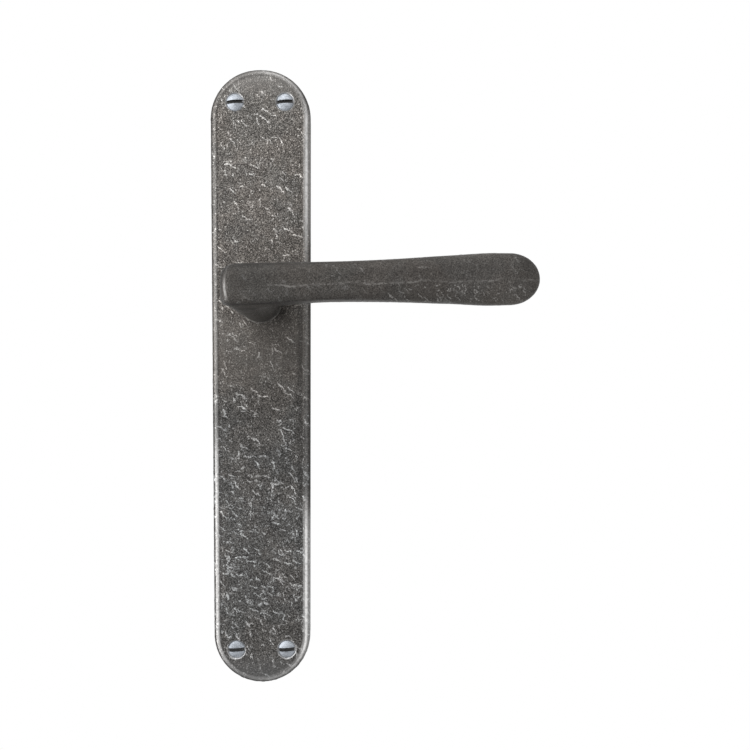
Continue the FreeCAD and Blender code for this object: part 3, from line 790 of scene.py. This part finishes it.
def lever_wear_and_light(tree, point, colour):
    """The ridge along the front is polished paler in flecks, and a painted highlight runs down the
    outside of the elbow. The grip is scuffed near its tip, and its tone is uneven, partly at random
    and partly from painted light and shade. All distances are in millimetres from the spindle's
    axis and the door."""
    along, depth, up = parts_of(tree, point)

    # How light the skin is: darkest on the elbow's front and lighter towards the tip, with painted
    # light making it paler behind, along the top edge and at the elbow's underside, painted shade
    # darkening its upper part, and random mottling
    top = linear(tree, times(tree, along, along), 0.0004, 7.7)
    below_top = maths(tree, "SUBTRACT", top, up)
    mottled = noise(tree, point, 0.28, 3.0, 0.6)
    level = times(tree, rise(tree, along, 0.0, 45.0, 0.67, 0.82),
                  rise(tree, along, 60.0, 98.0, 1.0, 1.28),
                  rise(tree, up, -4.0, 6.0, 1.08, 0.82),
                  rise(tree, depth, -50.0, -38.0, 1.0, 2.4),
                  rise(tree, below_top, 1.6, 0.2, 1.0, 1.6),
                  rise(tree, mottled, 0.35, 0.65, 0.91, 1.08))
    # Painted light on the elbow's underside, just behind its front
    under = times(tree, rise(tree, up, -5.4, -7.0), rise(tree, along, 14.0, 6.0),
                  band(tree, depth, -56.5, -53.5, -50.0, -46.0))
    colour = scaled(tree, colour, times(tree, level, linear(tree, under, 0.9, 1.0)))
    colour = tint(tree, rise(tree, depth, -46.0, -52.0), colour, (1.03, 0.995, 0.965, 1.0),
                  "MULTIPLY")

    ridge = node(tree, "ShaderNodeAttribute", output="Fac", attribute_name="from_ridge")
    patchy = noise(tree, stretched(tree, point, (0.3, 1.0, 1.0)), 0.6, 3.0, 0.6)
    flecks = noise(tree, stretched(tree, point, (0.6, 1.0, 1.0)), 1.6, 1.0)
    line = times(tree, rise(tree, ridge, 0.6, 0.1), rise(tree, patchy, 0.36, 0.6, 0.3, 1.0),
                 rise(tree, flecks, 0.42, 0.58, 0.15, 1.0), rise(tree, along, 0.0, 16.0))
    colour = tint(tree, times(tree, line, 0.34), colour, grey(0.24, 0.04))

    # Scuffs crowd the lower half of the grip towards its tip
    share = times(tree, rise(tree, along, 40.0, 80.0, 0.05, 1.0), rise(tree, along, 101.0, 96.0),
                  band(tree, up, 0.5, -1.5, -5.8, -7.2), 0.68)
    scuffs = strokes(tree, point, 1.2, 1.0, 0.46, share, 180.0, 3.0)
    colour = tint(tree, times(tree, scuffs, 0.52), colour, grey(0.3, 0.03))

    # A painted highlight: a bright curved band down the outside of the elbow
    elbow_highlight = linear(tree, times(tree, up, up), -0.032, along)
    elbow_highlight = maths(tree, "ABSOLUTE", maths(tree, "ADD", elbow_highlight, 4.8))
    elbow_highlight = times(tree, rise(tree, elbow_highlight, 0.7, 0.1), rise(tree, depth, -48.0, -52.0),
                     rise(tree, up, 3.0, -1.5, 0.25, 1.0), rise(tree, up, -6.2, -3.6),
                     rise(tree, patchy, 0.3, 0.6, 0.6, 1.0), 0.5)
    colour = tint(tree, elbow_highlight, colour, grey(0.3, 0.02))
    # Where it is seen edge on, its upper part reflects less than its lower: painted shade
    return colour, tint(tree, rise(tree, up, 3.0, -4.0), grey(0.85), grey(1.0))


lever_iron = cast_iron("lever_iron", (0.033, 0.058, 0.086, 0.18), 0.06, (0.5, 0.5), 0.55,
                       lever_wear_and_light)
lever = add_piece("lever_casting", *skin(lever_rings))
places = np.array([v.co for v in lever.data.vertices])
on_front = (places[:, 1] < front + 0.004) & (places[:, 0] > pivot[0] - 0.002)
far_off = 9.0
from_ridge = np.where(on_front, np.abs(places[:, 2] - ridge_height(places[:, 0])) * MM, far_off)
lever.data.attributes.new("from_ridge", "FLOAT", "POINT").data.foreach_set("value", from_ridge)
grow(lever, relief, crest_height=0.06, grain_height=0.1, wave_height=0.2, few=0.5, many=0.5,
     smooth_from_y=shoulder, finish=lever_iron)
drive_low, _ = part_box("drive_plate")
spindle_low, spindle_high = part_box("spindle")
flat_height = 0.0058
socket_half = spindle_high.x + ease
pin_low, pin_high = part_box("spindle_cross_pin")


def block(name, low, high):
    """A box between two corners."""
    corners = [(x, y, z) for x in (low[0], high[0]) for y in (low[1], high[1])
               for z in (low[2], high[2])]
    return add_piece(name, corners, [
        (0, 1, 3, 2), (4, 5, 7, 6), (0, 1, 5, 4), (2, 3, 7, 6), (0, 2, 6, 4), (1, 3, 7, 5)])


past_end = journal_end + LAP
cutters = [block("socket", (-socket_half, spindle_low.y - 0.0005, -socket_half),
                 (socket_half, past_end, socket_half))]
for side in (-1, 1):
    near, far = sorted((side * flat_height, side * 2 * flat_height))
    cutters.append(block("flat", (-0.02, drive_low.y, near), (0.02, past_end, far)))
pin_drill = turned("drill", [(pin_high.x, -0.009), (pin_high.x, 0.009)], count=32)
pin_drill.data.transform(Matrix.Translation((0, (pin_low.y + pin_high.y) / 2, 0))
                         @ Matrix.Rotation(math.pi / 2, 4, "X"))
cutters.append(pin_drill)
carve(lever, cutters, cut_iron)
smooth(lever)
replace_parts(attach(lever, "lever"), "lever_handle")

# --------------------
# Spindle and its cross pin: a bright cold-drawn square bar that works the latch, pinned
# through the journal where the bush hides it.

drawn_steel = worked_metal("drawn_steel", (0.3, 0.31, 0.32, 1.0), (0.5, 0.51, 0.52, 1.0), 0.3,
                           (1.4, 0.08, 1.4))
refinish(drawn_steel, "spindle", "spindle_cross_pin")

# --------------------
# Return mechanism, in the order it goes on the journal: a nylon washer, the drive plate that
# the spring turns, a cup washer, a plain washer, and the ring that holds them on.


def moulded_nylon():
    """Off-white moulded nylon, a little translucent, with flow marks."""
    material, tree, point = new_finish("moulded_nylon")
    flow = noise(tree, stretched(tree, point, (0.5, 2.0, 0.5)), 0.8, 3.0, 0.55)
    colour = tint(tree, rise(tree, flow, 0.35, 0.65), (0.55, 0.52, 0.44, 1.0),
                  (0.68, 0.66, 0.58, 1.0))
    close_finish(tree, colour, rise(tree, flow, 0.3, 0.7, 0.4, 0.52), flow, 0.00002)
    return material


pressed_steel = worked_metal("pressed_steel", (0.2, 0.2, 0.205, 1.0), (0.4, 0.4, 0.41, 1.0),
                             0.34, (1.0, 0.6, 1.0), 0.00003)
refinish(moulded_nylon(), "thrust_washer")
refinish(pressed_steel, "drive_plate", "plain_washer")
blued_steel = worked_metal("blued_spring_steel", (0.06, 0.065, 0.08, 1.0),
                           (0.17, 0.18, 0.21, 1.0), 0.28, (0.8, 0.8, 0.8))
refinish(blued_steel, "cup_washer", "retaining_ring")
refinish(drawn_steel, "spring_anchor_pin", "rest_stop_pin", "travel_stop_pin")

# --------------------
# Return spring: a torsion coil of hard-drawn wire round the bush's boss. One leg lies against
# the anchor pin, the other is turned up through the drive plate and moves with the lever.

wire_radius = 0.0007
coil_radius = 0.012328
coil_pitch = 0.0015
coil_degrees = 630      # one and three quarter turns
coil_step = 5
leg_bend = 0.0011
fixed_leg_degrees = 180
spring_low, spring_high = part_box("return_spring")
coil_y = spring_low.y + wire_radius


def on_coil(turn):
    """Where the wire is after so many degrees, which way it heads, and outwards."""
    angle = math.radians(fixed_leg_degrees + turn)
    outwards = Vector((math.sin(angle), 0, math.cos(angle)))
    heading = Vector((outwards.z, 0, -outwards.x)) * coil_radius
    heading.y = coil_pitch / (2 * math.pi)
    place = outwards * coil_radius
    place.y = coil_y + coil_pitch * turn / 360
    return place, heading.normalized(), outwards


def leg_corner(start, heading, aim):
    """Points of the bend from one heading to another."""
    side = (aim - heading * aim.dot(heading)).normalized()
    turns = np.linspace(0, math.acos(aim.dot(heading)), 9)[1:]
    return [start + heading * leg_bend * math.sin(t) + side * leg_bend * (1 - math.cos(t))
            for t in turns]


start, heading, outwards = on_coil(0)
fixed_corner = leg_corner(start, -heading, outwards)
fixed_end = fixed_corner[-1] + outwards * (-spring_low.z + fixed_corner[-1].z)
coil = [on_coil(turn)[0] for turn in range(0, coil_degrees + 1, coil_step)]
end, heading, _ = on_coil(coil_degrees)
moving_corner = leg_corner(end, heading, Vector((0, 1, 0)))
moving_end = moving_corner[-1].copy()
moving_end.y = spring_high.y
wire_path = [fixed_end] + fixed_corner[::-1] + coil + moving_corner + [moving_end]


def wire_tree():
    """Draws a round wire along a chain of edges."""
    tree, given = start_tree("drawn_wire", Wire_radius=wire_radius, Sides="Int")
    line = node(tree, "GeometryNodeMeshToCurve", {"Mesh": given["Geometry"]})
    ring = node(tree, "GeometryNodeCurvePrimitiveCircle",
                {"Resolution": given["Sides"], "Radius": given["Wire radius"]})
    wire = node(tree, "GeometryNodeCurveToMesh",
                {"Curve": line, "Profile Curve": ring, "Fill Caps": True})
    return end_tree(tree, wire, given["Finish"])


spring_wire = worked_metal("hard_drawn_wire", (0.1, 0.1, 0.105, 1.0),
                           (0.26, 0.26, 0.27, 1.0), 0.3)
spring_mesh = bpy.data.meshes.new("return_spring_wire")
spring_mesh.from_pydata(wire_path, [(i, i + 1) for i in range(len(wire_path) - 1)], [])
spring = placed("return_spring_wire", spring_mesh)
grow(spring, wire_tree(), wire_radius=wire_radius, sides=20, finish=spring_wire)
smooth(spring)
coil_back = on_coil(coil_degrees)[0].y
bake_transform(spring)
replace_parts(spring, "return_spring")

# --------------------
# Plate screws: four slotted raised-head wood screws, zinc plated, sunk a little below the
# face. One blank is turned, slotted and threaded, and set at the corners of a rectangle.

dome_height = 0.0009
shank_radius = 0.00205
thread_radius = 0.00175
thread_core = 0.0012
thread_pitch = 0.0017
thread_run_in = 0.001
screw_tip = screws_high.y - face - head_sink
thread_start = -face - head_sink
point_length = 0.0035
slot_width, slot_depth = 0.0014, 0.0013
dome_radius = (head_radius ** 2 + dome_height ** 2) / (2 * dome_height)
sides = 40
dome_centre = dome_radius - dome_height
head_edge = 0.0002
blank = [circle(0, 0, r, dome_centre - math.sqrt(dome_radius ** 2 - r ** 2), sides)
         for r in np.linspace(0.0001, head_radius - 0.00012, 12)]
blank += [circle(0, 0, r, y, sides) for r, y in
          ((head_radius, 0.00008), (head_radius, head_edge),
           (shank_radius, head_radius - shank_radius + head_edge),
           (shank_radius, thread_start - 0.0004))]
around = np.linspace(0, 2 * math.pi, sides, endpoint=False)
for y in np.linspace(thread_start, screw_tip - 0.0002, 130):
    into = np.clip((y - thread_start) / thread_run_in, 0, 1)
    taper = np.clip((screw_tip - y) / point_length, 0, 1)
    turn = (y / thread_pitch - around / (2 * math.pi)) % 1
    tooth = np.clip(1 - np.abs(turn - 0.5) / 0.24, 0, 1) * into
    radius = between(thread_core, thread_radius, tooth) * taper + 0.00002
    blank.append(circle(0, 0, radius, y, sides))
screw = add_piece("screw_blank", *skin(blank))
cutter = block("slot", (-2 * head_radius, -0.002, -slot_width / 2),
               (2 * head_radius, slot_depth - dome_height, slot_width / 2))
zinc = worked_metal("zinc_plate", (0.19, 0.205, 0.225, 1.0), (0.38, 0.405, 0.44, 1.0),
                    0.48, bump=0.00006, metallic=0.8)
# The slot's cut faces are finished near black
dark_slot_finish = worked_metal("slot_grime", grey(0.018), grey(0.045), 0.6, bump=0.00003, metallic=0.2)
screw.data.materials.append(zinc)
carve(screw, [cutter], dark_slot_finish)
smooth(screw)


def screw_tree():
    """Sets a screw at the corners of a rectangle, each slot turned a little differently."""
    tree, given = start_tree("screw_places", Screw="Object", Width="Float", Height="Float",
                             Centre="Vector", Slot_turn="Float", Slot_spread="Float", Seed="Int")
    corners = node(tree, "GeometryNodeMeshGrid",
                   {"Size X": given["Width"], "Size Y": given["Height"], "Vertices X": 2,
                    "Vertices Y": 2})
    corners = node(tree, "GeometryNodeTransform",
                   {"Geometry": corners, "Translation": given["Centre"],
                    "Rotation": (math.pi / 2, 0.0, 0.0)})
    blank = node(tree, "GeometryNodeObjectInfo", {"Object": given["Screw"]}, output="Geometry")
    most = maths(tree, "ADD", given["Slot turn"], given["Slot spread"])
    least = maths(tree, "SUBTRACT", given["Slot turn"], given["Slot spread"])
    slot_turn = node(tree, "FunctionNodeRandomValue",
                     {"Min": least, "Max": most, "Seed": given["Seed"]}, output="Value",
                     data_type="FLOAT")
    rotation = node(tree, "ShaderNodeCombineXYZ", {"Y": slot_turn})
    screws = node(tree, "GeometryNodeInstanceOnPoints",
                  {"Points": corners, "Instance": blank, "Rotation": rotation})
    plated = node(tree, "FunctionNodeCompare",
                  {"A": node(tree, "GeometryNodeInputMaterialIndex"), "B": 0},
                  data_type="INT", operation="EQUAL")
    return end_tree(tree, screws, given["Finish"], plated)


screws = placed("wood_screws", bpy.data.meshes.new("wood_screws"))
grow(screws, screw_tree(), screw=screw, width=2 * screw_x, height=screw_rows[0] - screw_rows[1],
     centre=(0.0, face + head_sink, (screw_rows[0] + screw_rows[1]) / 2),
     slot_turn=-math.radians(3.9), slot_spread=math.radians(1.0), seed=3, finish=zinc)
bpy.data.objects.remove(screw)
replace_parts(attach(screws, "plate"), "plate_screws")

# --------------------
# Stage: a pale round floor well below, soft lamps, a white surround, and the camera

def seen_directly(tree):
    """1 for what the camera, a mirror or glass sees, and 0 for light that falls on things."""
    rays = tree.nodes.new("ShaderNodeLightPath").outputs
    seen = maths(tree, "MAXIMUM", rays["Is Camera Ray"], rays["Is Glossy Ray"])
    return maths(tree, "MAXIMUM", seen, rays["Is Transmission Ray"])


def pale_floor(middle, inner, outer):
    """A matt pale floor that looks nearly white, keeps a faint shadow, and ends in white."""
    material, tree, point = new_finish("pale_floor")
    away = vector(tree, "DISTANCE", point, middle, output="Value")
    whiteness = times(tree, seen_directly(tree), rise(tree, away, inner, outer, 0.72, 1.0))
    matt = node(tree, "ShaderNodeBsdfDiffuse", {"Color": grey(0.8)})
    white = node(tree, "ShaderNodeEmission", {"Color": grey(1.0), "Strength": 1.0})
    mixed = node(tree, "ShaderNodeMixShader", {0: whiteness, 1: matt, 2: white})
    tree.links.new(mixed, tree.nodes.new("ShaderNodeOutputMaterial").inputs["Surface"])
    return material


floor_middle = Vector((0.04, -0.02, -0.35))
floor_radius = 0.3
floor = turned("floor", [(0.0001, -0.001), (floor_radius, -0.001), (floor_radius, 0.0),
                         (0.0001, 0.0)], count=128)
floor.data.transform(Matrix.Translation(floor_middle) @ Matrix.Rotation(math.pi / 2, 4, "X"))
floor.data.materials.append(pale_floor(tuple(floor_middle * MM), 120.0, 295.0))

camera_data = bpy.data.cameras.new("camera")
camera = placed("camera", camera_data)
camera.location = (0.0518, -0.3357, -0.0425)
camera.rotation_euler = (math.pi / 2, math.radians(0.19), 0)
camera_data.lens = 39.3
camera_data.shift_x = -0.0213
camera_data.shift_y = 0.0438
bpy.context.scene.camera = camera
bpy.context.scene.view_settings.view_transform = "Standard"

world = bpy.data.worlds.new("surround")
world.use_nodes = True
bpy.context.scene.world = world
sky = world.node_tree
sky.nodes.clear()
strength = rise(sky, seen_directly(sky), 0.0, 1.0, 0.5, 1.0)
glow = node(sky, "ShaderNodeBackground", {"Color": (1, 1, 1, 1), "Strength": strength})
sky.links.new(glow, sky.nodes.new("ShaderNodeOutputWorld").inputs["Surface"])


def add_lamp(name, place, aim, width, height, watts):
    """A soft rectangular lamp turned towards a point."""
    data = bpy.data.lights.new(name, "AREA")
    data.shape = "RECTANGLE"
    data.size, data.size_y, data.energy = width, height, watts
    lamp = placed(name, data)
    lamp.location = place
    lamp.rotation_euler = (Vector(aim) - Vector(place)).to_track_quat("-Z", "Y").to_euler()


add_lamp("upper_left", (-0.35, -0.6, 0.5), (0, 0, 0.05), 0.5, 0.5, 5.0)
add_lamp("left_strip", (-0.6, -0.25, -0.1), (0, 0, -0.05), 0.3, 0.6, 4.0)
add_lamp("overhead", (0.02, -0.2, 0.6), (0.03, -0.04, 0), 0.5, 0.3, 1.2)
